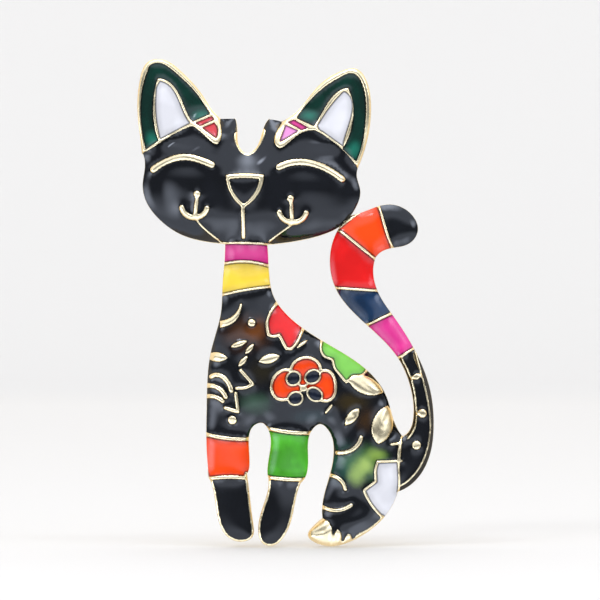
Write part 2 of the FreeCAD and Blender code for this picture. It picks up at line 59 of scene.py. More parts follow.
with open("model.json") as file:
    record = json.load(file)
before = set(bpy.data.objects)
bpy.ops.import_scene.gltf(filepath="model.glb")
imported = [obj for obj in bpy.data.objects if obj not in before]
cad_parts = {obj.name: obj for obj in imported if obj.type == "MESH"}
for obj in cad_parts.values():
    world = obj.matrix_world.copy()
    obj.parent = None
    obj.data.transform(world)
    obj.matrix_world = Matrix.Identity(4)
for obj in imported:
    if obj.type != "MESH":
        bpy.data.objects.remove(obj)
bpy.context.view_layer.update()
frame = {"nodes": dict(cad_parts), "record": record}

MM = 0.001
MERGE = 1e-6            # corners of the frame's loose triangles closer than this are one corner
BODY = "brooch"
SLOTS = {part["node"]: part["material_slot"] for part in frame["record"]["subparts"]}
ENAMEL_NODES = [node for node in frame["nodes"] if SLOTS[node].startswith("enamel")]
BACK_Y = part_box("cast_body")[1][1] / MM


# ---- colours --------------------------------------------------------
def linear(colour):
    """An sRGB hex string as a linear colour."""
    parts = [int(colour[i:i + 2], 16) / 255 for i in (0, 2, 4)]
    return tuple(c / 12.92 if c <= 0.04045 else ((c + 0.055) / 1.055) ** 2.4 for c in parts)


def colour_property(name, description, colour):
    return bpy.props.FloatVectorProperty(name=name, description=description, subtype="COLOR",
                                         size=3, min=0.0, max=1.0, default=linear(colour))


def length_property(name, description, millimetres):
    return bpy.props.FloatProperty(name=name, description=description, unit="LENGTH",
                                   default=millimetres * MM, min=0.0, precision=5)


class CatBroochSizes(bpy.types.PropertyGroup):
    """Depths and roundings of the relief."""

    plate: length_property("Plate", "Thickness of ears, legs and tail before rounding", 2.6)
    head_peak: length_property("Head peak", "Thickness at the middle of the head", 5.4)
    head_radius: length_property("Head crown", "Radius of the head's crown", 24.0)
    torso_peak: length_property("Torso peak", "Thickness at the middle of the torso", 4.2)
    torso_radius: length_property("Torso crown", "Radius of the torso's crown", 60.0)
    line_height: length_property("Line height", "How far the gold stands above the enamel", 0.22)
    line_round: length_property("Line rounding", "Radius of a gold line's rounded shoulder", 0.24)
    meniscus: length_property("Meniscus", "How far the enamel climbs its gold walls", 0.16)
    fill_depth: length_property("Fill depth", "Depth of an enamel fill", 0.6)


class CatBroochColours(bpy.types.PropertyGroup):
    """Colours of the enamels and metals."""

    gold: colour_property("Gold", "Pale gold plating", "fbe7ba")
    black: colour_property("Black", "Black enamel", "0c0e13")
    deep_green: colour_property("Bottle green", "Enamel of the ears' rims", "042f26")
    leaf_green: colour_property("Leaf green", "Enamel of the right foreleg", "4cae2c")
    spring_green: colour_property("Spring green", "Enamel of the patch on the back", "7fd052")
    white: colour_property("White", "Enamel inside the ears and on the hip", "e2e4ee")
    coral: colour_property("Coral", "Enamel at the left ear's foot", "e0454e")
    red: colour_property("Red", "Enamel of the back and tail", "df1a1a")
    pink: colour_property("Pink", "Enamel at the right ear's foot", "f09adf")
    magenta: colour_property("Magenta", "Enamel of collar and tail", "de3a94")
    yellow: colour_property("Yellow", "Enamel of the neck", "f4d646")
    orange: colour_property("Orange", "Enamel of leg, tail and flower", "fb4a0e")
    navy: colour_property("Navy", "Enamel of the tail's blue band", "143052")
    night: colour_property("Night blue", "Enamel of the petals", "0d1526")
    steel: colour_property("Steel", "Stem and rivet", "cfcfcb")
    solder: colour_property("Solder", "Plugs through the bar", "b9b7b0")
    floor: colour_property("Floor", "Studio floor and backdrop", "eeeeef")


def sizes():
    """The sizes in millimetres, by name."""
    group = bpy.context.scene.cat_brooch_sizes
    return {name: getattr(group, name) / MM for name in CatBroochSizes.__annotations__}


def colours():
    return bpy.context.scene.cat_brooch_colours


# ---- outlines taken from the frame, as (x, z) in millimetres --------
SMALLEST_LOOP = 0.004   # square millimetres: anything smaller is a crack between triangles
CORNER = math.radians(48)   # a sharper bend than this stays a corner
TOO_CLOSE = 0.02        # a point of an outline nearer than this to the last one is left out
FACES_FRONT = -0.2      # a triangle that leans forwards more than this is on the front
FACES_BACK = 0.9
CHUNK = 2000            # points tested at once, to save memory
ROW_SHIFT = 0.866       # height of a row of even triangles, in their sides
ROW_CLEAR = 0.88        # a row's points keep this share of its width from the rim
FIELD_CLEAR = 0.45      # the middle starts this many of its spacings past the last row
APART = 0.6             # and inner points keep this many rim spacings from each other


def cad_surface(node):
    """A node's corners in millimetres, with its doubles merged, and its triangles."""
    shape = bmesh.new()
    shape.from_mesh(frame["nodes"][node].data)
    bmesh.ops.remove_doubles(shape, verts=shape.verts, dist=MERGE)
    shape.verts.index_update()
    places = np.array([v.co[:] for v in shape.verts]) / MM
    triangles = np.array([[v.index for v in f.verts] for f in shape.faces])
    shape.free()
    return places, triangles


def leaning(places, triangles):
    """How much each triangle faces the back: -1 looks straight forwards."""
    a, b, c = (places[triangles[:, i]] for i in range(3))
    normal = np.cross(b - a, c - a)
    return normal[:, 1] / np.maximum(np.linalg.norm(normal, axis=1), 1e-12)


def rim_loops(places, triangles):
    """The loops that bound some triangles, as (x, z) corners with the inside on the left."""
    edges = set()
    for a, b, c in triangles.tolist():
        edges.update(((a, b), (b, c), (c, a)))
    following = {}
    for a, b in edges:
        if (b, a) not in edges:
            following.setdefault(a, []).append(b)
    loops = []
    while following:
        start = next(iter(following))
        loop = [start]
        while True:
            ends = following[loop[-1]]
            ahead = ends.pop()
            if not ends:
                del following[loop[-1]]
            if ahead == start or ahead not in following:
                break
            loop.append(ahead)
        if len(loop) > 2:
            loops.append(places[loop][:, [0, 2]])
    return [loop for loop in loops if abs(signed_area(loop)) > SMALLEST_LOOP]


def signed_area(loop):
    """The area inside a loop, negative if it runs clockwise."""
    ahead = np.roll(loop, -1, axis=0)
    return 0.5 * float(np.sum(loop[:, 0] * ahead[:, 1] - ahead[:, 0] * loop[:, 1]))


def smooth_loop(loop, step):
    """The loop again through evenly spaced points, curved between its corners."""
    gap = np.linalg.norm(loop - np.roll(loop, 1, axis=0), axis=1)
    loop = loop[gap > TOO_CLOSE]
    behind = loop - np.roll(loop, 1, axis=0)
    ahead = np.roll(loop, -1, axis=0) - loop
    len_behind = np.linalg.norm(behind, axis=1, keepdims=True)
    len_ahead = np.linalg.norm(ahead, axis=1, keepdims=True)
    unit_behind, unit_ahead = behind / len_behind, ahead / len_ahead
    bend = np.arccos(np.clip(np.sum(unit_behind * unit_ahead, axis=1), -1, 1))
    corner = bend > CORNER
    mixed = unit_behind * len_ahead + unit_ahead * len_behind
    mixed /= np.maximum(np.linalg.norm(mixed, axis=1, keepdims=True), 1e-9)
    leave = np.where(corner[:, None], unit_ahead, mixed)
    arrive = np.where(corner[:, None], unit_behind, mixed)
    points = []
    count = len(loop)
    for i in range(count):
        j = (i + 1) % count
        span = float(len_ahead[i, 0])
        parts = max(1, round(span / step))
        t = (np.arange(parts) / parts)[:, None]
        points.append((2 * t**3 - 3 * t**2 + 1) * loop[i]
                      + (t**3 - 2 * t**2 + t) * span * leave[i]
                      + (3 * t**2 - 2 * t**3) * loop[j] + (t**3 - t**2) * span * arrive[j])
    return np.concatenate(points)


def point_tree(points):
    """A search tree over flat points."""
    tree = kdtree.KDTree(len(points))
    for i, (x, z) in enumerate(points.tolist()):
        tree.insert((x, z, 0), i)
    tree.balance()
    return tree


def distances(tree, points):
    """How far each point is from the nearest one in the tree."""
    return np.array([tree.find((x, z, 0))[2] for x, z in points.tolist()])


def inside(loops, points):
    """Which points lie inside the loops, by counting the edges to the right of each one."""
    starts = np.concatenate(loops)
    ends = np.concatenate([np.roll(loop, -1, axis=0) for loop in loops])
    result = np.zeros(len(points), bool)
    for first in range(0, len(points), CHUNK):
        part = points[first:first + CHUNK]
        z = part[:, 1][:, None]
        crosses = (starts[:, 1] <= z) != (ends[:, 1] <= z)
        paper_painted_shade = np.where(ends[:, 1] == starts[:, 1], 1e-12, ends[:, 1] - starts[:, 1])
        at = starts[:, 0] + (z - starts[:, 1]) * (ends[:, 0] - starts[:, 0]) / paper_painted_shade
        to_the_right = np.sum(crosses & (at > part[:, 0][:, None]), axis=1)
        result[first:first + CHUNK] = to_the_right % 2 == 1
    return result


def spread(points, least):
    """The points, less those that come closer than least to one already kept."""
    kept, cells = [], {}
    for x, z in points.tolist():
        i, j = int(x // least), int(z // least)
        near = [p for a in (i - 1, i, i + 1) for b in (j - 1, j, j + 1)
                for p in cells.get((a, b), ())]
        if all((x - p[0]) ** 2 + (z - p[1]) ** 2 >= least * least for p in near):
            cells.setdefault((i, j), []).append((x, z))
            kept.append((x, z))
    return np.array(kept).reshape(-1, 2)


def inward_normals(points, edges):
    """The direction to the left of the edges that meet at each point."""
    along = points[edges[:, 1]] - points[edges[:, 0]]
    left = np.stack([-along[:, 1], along[:, 0]], axis=1)
    left /= np.maximum(np.linalg.norm(left, axis=1, keepdims=True), 1e-9)
    total = np.zeros_like(points)
    np.add.at(total, edges[:, 0], left)
    np.add.at(total, edges[:, 1], left)
    return total / np.maximum(np.linalg.norm(total, axis=1, keepdims=True), 1e-9)


def joined_labels(count, first, second):
    """A label for each of count things, the same for those that the pairs join."""
    parent = list(range(count))

    def top(i):
        while parent[i] != i:
            parent[i] = parent[parent[i]]
            i = parent[i]
        return i

    for a, b in zip(first.tolist(), second.tolist()):
        parent[top(b)] = top(a)
    return np.array([top(i) for i in range(count)])


def face_sides(faces):
    """The three directed edges of every triangle."""
    return np.concatenate([faces[:, [0, 1]], faces[:, [1, 2]], faces[:, [2, 0]]])


def faces_inside(points, faces, rim_edges, loops):
    """The triangles inside the loops.

    They are taken as whole patches between rim edges, each judged by its largest triangle.
    """
    count = len(points)
    low_first = np.sort(face_sides(faces), axis=1)
    keys = low_first[:, 0] * count + low_first[:, 1]
    rims = np.sort(rim_edges, axis=1)
    on_rim = np.isin(keys, rims[:, 0] * count + rims[:, 1])
    owner = np.tile(np.arange(len(faces)), 3)
    order = np.argsort(keys, kind="stable")
    keys, owner, on_rim = keys[order], owner[order], on_rim[order]
    same = keys[:-1] == keys[1:]
    across = np.flatnonzero(same & ~on_rim[:-1])
    label = joined_labels(len(faces), owner[across], owner[across + 1])
    alone = np.ones(len(keys), bool)
    alone[:-1] &= ~same
    alone[1:] &= ~same
    outside = label[owner[alone & ~on_rim]]
    a, b, c = (points[faces[:, i]] for i in range(3))
    area = (b - a)[:, 0] * (c - a)[:, 1] - (b - a)[:, 1] * (c - a)[:, 0]
    by_area = np.argsort(area)
    largest = np.array(list(dict(zip(label[by_area].tolist(), by_area.tolist())).values()))
    kept = label[largest[inside(loops, points[faces[largest]].mean(axis=1))]]
    return faces[np.isin(label, kept) & ~np.isin(label, outside)]


def fill_outline(loops, rows, step, grid):
    """Points and triangles that fill the loops, with rows of points along their rims.

    Returns the points, the triangles and the edges round them, with the inside on their left.
    """
    rim = np.concatenate(loops)
    edges, first = [], 0
    for loop in loops:
        count = len(loop)
        edges += [(first + i, first + (i + 1) % count) for i in range(count)]
        first += count
    inward = inward_normals(rim, np.array(edges))
    tree = point_tree(rim)
    layers = []
    for row in rows:
        layer = rim + inward * row
        layer = layer[distances(tree, layer) > ROW_CLEAR * row]
        layers.append(layer[inside(loops, layer)])
    low, high = rim.min(axis=0), rim.max(axis=0)
    across = np.arange(low[0], high[0], grid)
    up = np.arange(low[1], high[1], grid * ROW_SHIFT)
    x, z = np.meshgrid(across, up)
    x = x + np.where(np.arange(len(up)) % 2, grid / 2, 0)[:, None]
    field = np.stack([x.ravel(), z.ravel()], axis=1)
    field = field[inside(loops, field)]
    if len(field):
        field = field[distances(tree, field) > rows[-1] + FIELD_CLEAR * grid]
    inner = spread(np.concatenate(layers + [field]), APART * step)
    places = [Vector(p) for p in np.concatenate([rim, inner]).tolist()]
    places, sides, faces, _, sources, _ = geometry.delaunay_2d_cdt(
        places, edges, [], 0, 1e-6, True)
    points = np.array([p[:] for p in places])
    rim_edges = np.array([side for side, source in zip(sides, sources) if source])
    faces = faces_inside(points, np.array(faces), rim_edges, loops)
    sides = face_sides(faces)
    count = len(points)
    lone = ~np.isin(sides[:, 0] * count + sides[:, 1], sides[:, 1] * count + sides[:, 0])
    return points, faces, sides[lone]


def relax(values, faces, rounds):
    """Evens out values at the corners over their neighbours."""
    a = np.concatenate([faces[:, 0], faces[:, 1], faces[:, 2]])
    b = np.concatenate([faces[:, 1], faces[:, 2], faces[:, 0]])
    count = np.bincount(a, minlength=len(values)) + np.bincount(b, minlength=len(values))
    count = np.maximum(count, 1)
    for _ in range(rounds):
        values = (np.bincount(a, values[b], len(values))
                  + np.bincount(b, values[a], len(values))) / count
    return values


# ---- relief: height above the flat back, in millimetres -------------
EDGE_START = 0.22       # the rounding starts as if this far in, so that its slope stays finite
MENISCUS_REACH = 0.26   # the enamel's climb falls to a third this far from the wall
MENISCUS_REST = 0.35    # part of the climb that the middle of the cell loses
THINNEST = 0.1          # what is left under the floor of the deepest piece
BITE = 0.1              # gold sides start this far below the enamel
CROWN_RISE = 0.22       # broad gold stands this much higher than a line
CROWN_START = 0.15
CROWN_REACH = 0.5
HEAD_MIDDLE = (1.0, 0.4)
TORSO_MIDDLE = (7.0, -25.0)
TORSO_BLEND = 0.3       # how softly the torso runs into the head
LIMB_BLEND = 0.4        # and both into the ears, legs and tail
EDGE_DROP = 0.5         # share of the thickness that the rounded edge loses
EDGE_WIDTH = 0.72       # and its width, in thicknesses
EAR_DROP, EAR_WIDTH = 0.72, 0.6     # how much flatter and narrower the ears' edges are
OUTLINE_STEP = 0.12
EDGE_STEP = 0.05
# x, z, half width, half height and height of each soft swelling
SWELLINGS = (
    (-7.0, 0.4, 3.6, 2.4, 0.45),      # left eyelid
    (8.2, -0.2, 3.6, 2.4, 0.45),      # right eyelid
    (0.2, -3.6, 3.2, 2.2, 0.35),      # muzzle
    (-5.6, -3.0, 2.0, 1.6, 0.15),
    (6.0, -3.4, 2.0, 1.6, 0.15),
    (-8.0, 5.7, 1.7, 0.9, -0.4),      # hollow under each ear
    (10.0, 5.2, 1.9, 0.9, -0.4),
    (-7.3, 4.2, 4.2, 0.7, 0.3),       # brow above each closed eye
    (8.0, 3.6, 4.2, 0.7, 0.3),
    (0.6, 2.6, 2.4, 1.5, 0.25),       # bridge of the nose
    (14.6, -33.5, 3.6, 5.0, 0.9),     # haunch
    (13.5, -41.3, 4.0, 1.8, 0.7),     # hind foot
    (-1.0, -23.5, 2.8, 5.0, 0.3),     # shoulder
    (4.5, -29.5, 5.0, 1.5, -0.35),    # hollow above the forelegs
    (-1.7, 8.5, 1.3, 0.9, -0.7),      # tips of the two tufts, curled back
    (3.7, 8.4, 1.3, 0.9, -0.7),
)


def crown(x, z, middle, peak, radius):
    """Height of a ball's top of that radius, peaking over the middle."""
    away = (x - middle[0]) ** 2 + (z - middle[1]) ** 2
    return peak - radius + np.sqrt(np.maximum(radius * radius - away, 0.0))


def soft_max(a, b, blend):
    """The larger of two heights, rounded where they meet."""
    return np.maximum(a, b) + np.maximum(blend - np.abs(a - b), 0) ** 2 / (4 * blend)


def ramp(value, low, high):
    """From 0 at low to 1 at high, with soft ends."""
    t = np.clip((value - low) / (high - low), 0, 1)
    return t * t * (3 - 2 * t)


class Relief:
    """The enamel's front surface, rounded over towards the cat's outline."""

    def __init__(self):
        places, triangles = cad_surface("cast_body")
        back = leaning(places, triangles) > FACES_BACK
        self.outline = [smooth_loop(loop, OUTLINE_STEP)[::-1]
                        for loop in rim_loops(places, triangles[back])]
        self.tree = point_tree(np.concatenate([smooth_loop(loop, EDGE_STEP)
                                               for loop in self.outline]))

    def height(self, x, z):
        size = sizes()
        edge = distances(self.tree, np.stack([x, z], axis=1))
        head = crown(x, z, HEAD_MIDDLE, size["head_peak"], size["head_radius"])
        torso = crown(x, z, TORSO_MIDDLE, size["torso_peak"], size["torso_radius"])
        body = soft_max(soft_max(head, torso, TORSO_BLEND), np.full_like(x, size["plate"]),
                        LIMB_BLEND)
        ears = ramp(z, 4.5, 8.5) * ramp(np.abs(x - 1.1), 3.2, 4.4)
        drop = body * EDGE_DROP * (1 - EAR_DROP * ears)
        width = body * EDGE_WIDTH * (1 - EAR_WIDTH * ears)
        inwards = np.clip((edge + EDGE_START) / (width + EDGE_START), 0, 1)
        body = body - drop * (1 - np.sqrt(1 - (1 - inwards) ** 2))
        for cx, cz, wide, high, up in SWELLINGS:
            body = body + up * np.exp(-((x - cx) / wide) ** 2 - ((z - cz) / high) ** 2) * inwards
        return body


@functools.lru_cache(maxsize=1)
def relief():
    return Relief()


def enamel_top(points, walls):
    """Heights of an enamel fill: the relief, drawn up where it wets a gold wall."""
    base = relief().height(points[:, 0], points[:, 1])
    if walls is None:
        return base
    away = distances(walls, points)
    return base + sizes()["meniscus"] * (np.exp(-away / MENISCUS_REACH) - MENISCUS_REST)


def gold_top(points, edge):
    """Heights of raised gold: round shoulders up from the enamel, then a slight crown."""
    size = sizes()
    x, z = points[:, 0], points[:, 1]
    shoulder = np.clip(edge / size["line_round"], 0, 1)
    up = (size["line_height"] + BITE) * np.sqrt(1 - (1 - shoulder) ** 2) - BITE
    up = up + CROWN_RISE * (1 - np.exp(-np.maximum(edge - CROWN_START, 0) / CROWN_REACH))
    return relief().height(x, z) + up + gold_details(x, z, edge)


def soft_normals(points, heights, faces, rounds):
    """Normals of a height field at its corners, evened out over a few neighbours."""
    a, b, c = (np.stack([points[faces[:, i], 0], -heights[faces[:, i]], points[faces[:, i], 1]],
                        axis=1) for i in range(3))
    flat = np.cross(b - a, c - a)
    total = np.zeros((len(points), 3))
    for i in range(3):
        np.add.at(total, faces[:, i], flat)
    total /= np.maximum(np.linalg.norm(total, axis=1, keepdims=True), 1e-12)
    return np.stack([relax(total[:, i], faces, rounds) for i in range(3)], axis=1)


def height_places(points, heights):
    """Corners in metres for flat points and their heights above the back."""
    return [(x * MM, (BACK_Y - h) * MM, z * MM)
            for (x, z), h in zip(points.tolist(), heights.tolist())]


def sides_and_floor(faces, edges, count):
    """Faces that close a skin whose floor repeats its corners, count places on."""
    walls = [(a, a + count, b + count, b) for a, b in edges.tolist()]
    return walls + [(c + count, b + count, a + count) for a, b, c in faces.tolist()]


def new_object(name, corners, skin):
    mesh = bpy.data.meshes.new(name)
    mesh.from_pydata(corners, [], skin)
    piece = bpy.data.objects.new(name, mesh)
    bpy.context.scene.collection.objects.link(piece)
    return piece


def closed_relief(name, loops, tops, depth, rows, step, grid, rounds, walls=None):
    """A solid whose front has the given heights and whose sides drop to its own floor.

    Each corner keeps its distance from the walls, in millimetres, for its material.
    """
    points, faces, edges = fill_outline(loops, rows, step, grid)
    heights = tops(points)
    count = len(points)
    floor = height_places(points, np.maximum(heights - depth, THINNEST))
    piece = new_object(name, height_places(points, heights) + floor,
                       faces.tolist() + sides_and_floor(faces, edges, count))
    mesh = piece.data
    smooth_by_angle(piece, 50)
    soft = soft_normals(points, heights, faces, rounds)[faces.ravel()]
    given = np.zeros((len(mesh.loops), 3))
    given[:len(soft)] = soft
    mesh.normals_split_custom_set(given.tolist())
    if walls is not None:
        away = np.zeros(len(mesh.vertices))
        away[:count] = distances(walls, points)
        mesh.attributes.new(WALL_DISTANCE, "FLOAT", "POINT").data.foreach_set("value", away)
    return piece


def only(piece):
    """Selects one object alone and makes it active."""
    bpy.ops.object.select_all(action="DESELECT")
    piece.select_set(True)
    bpy.context.view_layer.objects.active = piece


def smooth_by_angle(piece, degrees):
    only(piece)
    bpy.ops.object.shade_smooth_by_angle(angle=math.radians(degrees))


def finish_piece(piece, body, slot, *nodes):
    if nodes:
        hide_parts(*nodes)
    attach(piece, body)


def paint(piece, material):
    piece.data.materials.clear()
    piece.data.materials.append(material)


# ---- materials ------------------------------------------------------
WALL_DISTANCE = "wall_distance"
DARK_INDEX = 1.5        # the dark fills are polished harder and mirror a little more
PALE_INDEX = 1.45
DARK = 0.12             # a colour with no channel above this is dark
PALE = 0.6              # and one with a channel above this is pale, and hides its pools
# start and end from the wall in millimetres, and the share of colour left at the start, of each
# band of painted shade along the gold walls
PAINTED_SHADE_BANDS = ((0.05, 0.2, 0.35), (0.15, 0.9, 0.82))
POOL_SIZE = 3.5         # millimetres, as the other sizes and depths here
SWIRL_SIZE = 1.6
SWIRL = 0.55            # how far the swirls shift a cloud's edge, in half widths
CLOUD_START, CLOUD_END = 0.35, 1.5      # where a cloud fades, in half widths
RIPPLE_SIZE = 2.4
RIPPLE_DEPTH = 0.03
TONE_SIZE = 1.8
DRAWN_LENGTH, DRAWN_WIDTH = 6.0, 0.12   # real die lines are finer, too fine to show
SCRATCH_DEPTH = 0.01


def add_node(tree, kind, inputs=None, **settings):
    """A node with its settings, each input a value or a link from another node's output."""
    node = tree.nodes.new(kind)
    for key, value in settings.items():
        setattr(node, key, value)
    for key, value in (inputs or {}).items():
        if isinstance(value, bpy.types.NodeSocket):
            tree.links.new(value, node.inputs[key])
        else:
            node.inputs[key].default_value = value
    return node


def new_material(name):
    """An empty node material and its tree."""
    material = bpy.data.materials.new(name)
    material.use_nodes = True
    material.node_tree.nodes.clear()
    return material, material.node_tree


def per_metre(millimetres):
    """Texture scale on Object coordinates for a pattern of that size."""
    return 1 / (millimetres * MM)


def mix_colour(tree, factor, a, b):
    """A mix of two colours, each a value or another node's output."""
    mix = add_node(tree, "ShaderNodeMix", data_type="RGBA")
    for socket, value in ((mix.inputs[0], factor), (mix.inputs[6], a), (mix.inputs[7], b)):
        if isinstance(value, bpy.types.NodeSocket):
            tree.links.new(value, socket)
        else:
            socket.default_value = value if socket is mix.inputs[0] else (*value[:3], 1)
    return mix.outputs[2]


def mapped(tree, value, start, end, low=0.0, high=1.0, soft=False):
    """A value moved from one range to another and held inside it, with soft ends if asked."""
    kind = "SMOOTHSTEP" if soft else "LINEAR"
    moved = add_node(tree, "ShaderNodeMapRange", {
        "Value": value, "From Min": start, "From Max": end, "To Min": low, "To Max": high},
        interpolation_type=kind)
    return moved.outputs[0]


def finish_surface(tree, **inputs):
    """The surface shader, with an underscore for each space in an input's name."""
    names = {key.replace("_", " "): value for key, value in inputs.items()}
    shader = add_node(tree, "ShaderNodeBsdfPrincipled", names)
    add_node(tree, "ShaderNodeOutputMaterial", {"Surface": shader.outputs[0]})


def shifted(colour, factor):
    return tuple(min(c * factor, 1.0) for c in colour)


def enamel_material(name, colour, clouds=()):
    """Soft enamel, poured and baked: a glassy skin over colour that pools darker and lighter.

    It has painted shade, darker towards its gold walls, and it may hold soft clouds.
    """
    pale = max(colour) > PALE
    low, high = (0.9, 1.04) if pale else (0.75, 1.25)
    material, tree = new_material(name)
    where = add_node(tree, "ShaderNodeTexCoord").outputs["Object"]
    pool = add_node(tree, "ShaderNodeTexNoise",
                    {"Vector": where, "Scale": per_metre(POOL_SIZE), "Detail": 2.0})
    pooled = mapped(tree, pool.outputs[0], 0.38, 0.62)
    shade = mix_colour(tree, pooled, shifted(colour, low), shifted(colour, high))
    warp = add_node(tree, "ShaderNodeTexNoise",
                    {"Vector": where, "Scale": per_metre(SWIRL_SIZE), "Detail": 3.0})
    for x, z, wide, tall, tint, strength in clouds:
        spot = add_node(tree, "ShaderNodeMapping", {
            "Vector": where,
            "Location": (-x / wide, 0.0, -z / tall),
            "Scale": (per_metre(wide), 0.0, per_metre(tall)),
        })
        reach = add_node(tree, "ShaderNodeVectorMath", {0: spot.outputs[0]}, operation="LENGTH")
        ragged = add_node(tree, "ShaderNodeMath",
                          {0: warp.outputs[0], 1: SWIRL, 2: reach.outputs["Value"]},
                          operation="MULTIPLY_ADD")
        mask = mapped(tree, ragged.outputs[0], CLOUD_END, CLOUD_START, 0.0, strength, soft=True)
        shade = mix_colour(tree, mask, shade, linear(tint))
    # painted shade: the colour is darkened towards the gold walls
    wall = add_node(tree, "ShaderNodeAttribute", attribute_name=WALL_DISTANCE).outputs["Fac"]
    painted_wall_shade = 1.0
    for start, end, least in PAINTED_SHADE_BANDS:
        band = mapped(tree, wall, start, end, least, soft=True)
        painted_wall_shade = add_node(tree, "ShaderNodeMath", {0: painted_wall_shade, 1: band},
                             operation="MULTIPLY").outputs[0]
    shaded = add_node(tree, "ShaderNodeVectorMath", {0: shade, 3: painted_wall_shade}, operation="SCALE")
    ripple = add_node(tree, "ShaderNodeTexNoise",
                      {"Vector": where, "Scale": per_metre(RIPPLE_SIZE), "Detail": 1.0})
    wave = add_node(tree, "ShaderNodeBump", {
        "Height": ripple.outputs[0], "Strength": 0.35, "Distance": RIPPLE_DEPTH * MM})
    finish_surface(tree, Base_Color=shaded.outputs[0], Roughness=0.06,
                   IOR=DARK_INDEX if max(colour) < DARK else PALE_INDEX, Normal=wave.outputs[0])
    return material


def gold_material(name, roughness=0.26, grain=0.5, grain_depth=0.012, patchy=0.1):
    """Pale gold plating on cast zinc, tumbled bright: mirror-like with a faint cast ripple."""
    material, tree = new_material(name)
    where = add_node(tree, "ShaderNodeTexCoord").outputs["Object"]
    gold = tuple(colours().gold)
    tone = add_node(tree, "ShaderNodeTexNoise",
                    {"Vector": where, "Scale": per_metre(TONE_SIZE), "Detail": 3.0})
    toned = mapped(tree, tone.outputs[0], 0.35, 0.65)
    shade = mix_colour(tree, toned, shifted(gold, 1 - patchy), shifted(gold, 1 + patchy / 2))
    gloss = mapped(tree, tone.outputs[0], 0.3, 0.7, roughness * 0.7, roughness * 1.4)
    ripple = add_node(tree, "ShaderNodeTexNoise",
                      {"Vector": where, "Scale": per_metre(grain), "Detail": 2.0})
    wave = add_node(tree, "ShaderNodeBump", {
        "Height": ripple.outputs[0], "Strength": 0.5, "Distance": grain_depth * MM})
    finish_surface(tree, Base_Color=shade, Metallic=1.0, Roughness=gloss,
                   Normal=wave.outputs[0])
    return material


def wire_material(name, colour, roughness):
    """Drawn or stamped metal: fine straight lines along X from the die."""
    material, tree = new_material(name)
    where = add_node(tree, "ShaderNodeTexCoord").outputs["Object"]
    drawn = add_node(tree, "ShaderNodeMapping", {
        "Vector": where,
        "Scale": (per_metre(DRAWN_LENGTH), per_metre(DRAWN_WIDTH), per_metre(DRAWN_WIDTH))})
    lines = add_node(tree, "ShaderNodeTexNoise",
                     {"Vector": drawn.outputs[0], "Scale": 1.0, "Detail": 3.0})
    toned = mapped(tree, lines.outputs[0], 0.3, 0.7)
    shade = mix_colour(tree, toned, shifted(colour, 0.85), shifted(colour, 1.05))
    gloss = mapped(tree, lines.outputs[0], 0.0, 1.0, roughness * 0.7, roughness * 1.3)
    scratch = add_node(tree, "ShaderNodeBump", {
        "Height": lines.outputs[0], "Strength": 0.4, "Distance": SCRATCH_DEPTH * MM})
    finish_surface(tree, Base_Color=shade, Metallic=1.0, Roughness=gloss,
                   Normal=scratch.outputs[0])
    return material


# ---- enamel fills ---------------------------------------------------
ENAMEL_ROWS = (0.05, 0.12, 0.22, 0.36)  # rows of corners, this far in from the rim
ENAMEL_STEP = 0.14      # between corners along the rim
ENAMEL_GRID = 0.26      # between corners in the middle
ENAMEL_SMOOTHING = 5
WALL_STEP = 0.06
# the colour and the nodes of each enamel, but for the clouded black of the body
ENAMELS = {
    "enamel black": ("black", ["head_black", "nose_black", "paw_left_black",
                               "paw_right_black", "tail_base_black", "tail_tip_black"]),
    "enamel bottle green": ("deep_green", ["ear_left_green", "ear_right_green"]),
    "enamel leaf green": ("leaf_green", ["leg_right_green"]),
    "enamel spring green": ("spring_green", ["back_green"]),
    "enamel white": ("white", ["ear_left_white", "ear_right_white", "hip_white"]),
    "enamel coral": ("coral", ["ear_left_red_strip", "ear_left_red_tip"]),
    "enamel red": ("red", ["back_red", "tail_red"]),
    "enamel pink": ("pink", ["ear_right_pink_tip"]),
    "enamel magenta": ("magenta", ["ear_right_magenta_strip", "collar_magenta",
                                   "tail_magenta"]),
    "enamel yellow": ("yellow", ["collar_yellow"]),
    "enamel orange": ("orange", ["leg_left_orange", "tail_orange", "flower_field_left",
                                 "flower_field_top", "flower_field_right"]),
    "enamel navy": ("navy", ["tail_navy"]),
    "enamel night blue": ("night", ["petal_upper_left", "petal_upper_right",
                                    "petal_lower_right", "petal_lower_left"]),
}
# x, z, half width, half height, colour and strength of each cloud
BODY_CLOUDS = (
    (0.6, -18.2, 3.4, 2.6, "4a2a0c", 0.9),
    (1.6, -17.6, 1.6, 1.4, "6e3d14", 0.8),
    (2.4, -22.6, 2.2, 2.0, "241f0c", 0.8),
    (1.4, -26.6, 2.4, 1.6, "33503f", 0.85),
    (8.4, -28.2, 2.6, 1.0, "22343a", 0.8),
    (13.3, -26.6, 2.6, 1.4, "33290d", 0.9),
    (15.2, -28.6, 1.8, 1.8, "3a260a", 0.8),
    (12.4, -34.0, 2.4, 3.0, "2d5350", 0.85),
    (15.0, -34.0, 3.3, 2.6, "3f7436", 0.85),
    (13.9, -35.4, 1.4, 1.6, "8fae58", 0.95),
    (14.9, -34.2, 1.5, 1.4, "9dbb5c", 0.95),
    (16.2, -33.0, 1.5, 1.1, "86a64c", 0.9),
)
EAR_CLOUDS = (
    (-10.9, 5.6, 1.2, 1.3, "1f7a68", 0.75),
    (-5.0, 8.5, 1.4, 0.8, "1f7a68", 0.7),
    (13.6, 4.3, 1.2, 1.3, "1f7a68", 0.75),
    (8.0, 8.5, 1.4, 0.8, "1f7a68", 0.7),
)


